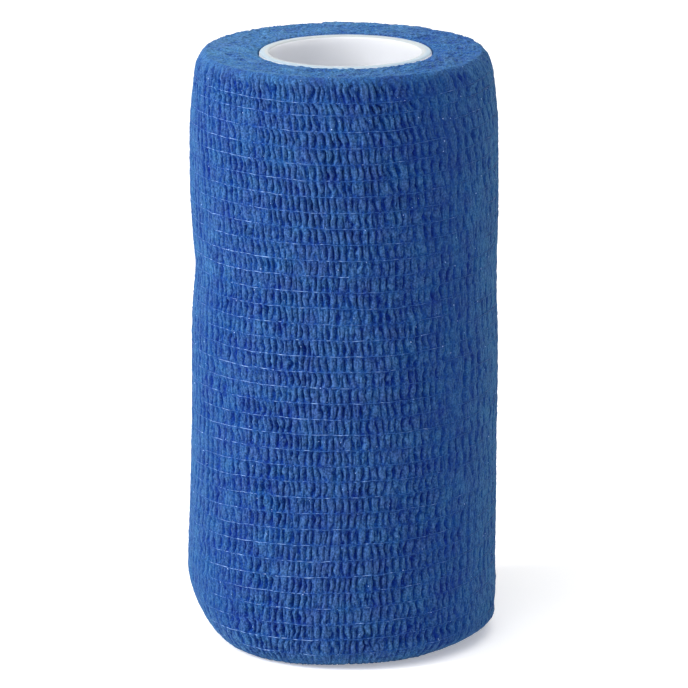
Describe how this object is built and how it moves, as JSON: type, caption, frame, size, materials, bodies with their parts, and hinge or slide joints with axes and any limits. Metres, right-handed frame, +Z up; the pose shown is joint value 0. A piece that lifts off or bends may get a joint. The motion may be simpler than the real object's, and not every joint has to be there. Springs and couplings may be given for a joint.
{
  "type": "cohesive bandage roll",
  "caption": "Roll of crinkled, self-adhesive elastic bandage strip, wound square on a plain plastic tube and standing on its end.",
  "frame": {"origin": "middle of the underside that the roll stands on", "axes": "+Z up along the tube, -Y towards the viewer, +X to the viewer's right"},
  "size_m": [0.0524, 0.0524, 0.1],
  "materials": {
    "bandage": "crinkled matte nonwoven",
    "tube": "satin moulded"
  },
  "bodies": {
    "root": {"bandage_roll": "bandage", "core_tube": "tube"}
  },
  "joints": []
}
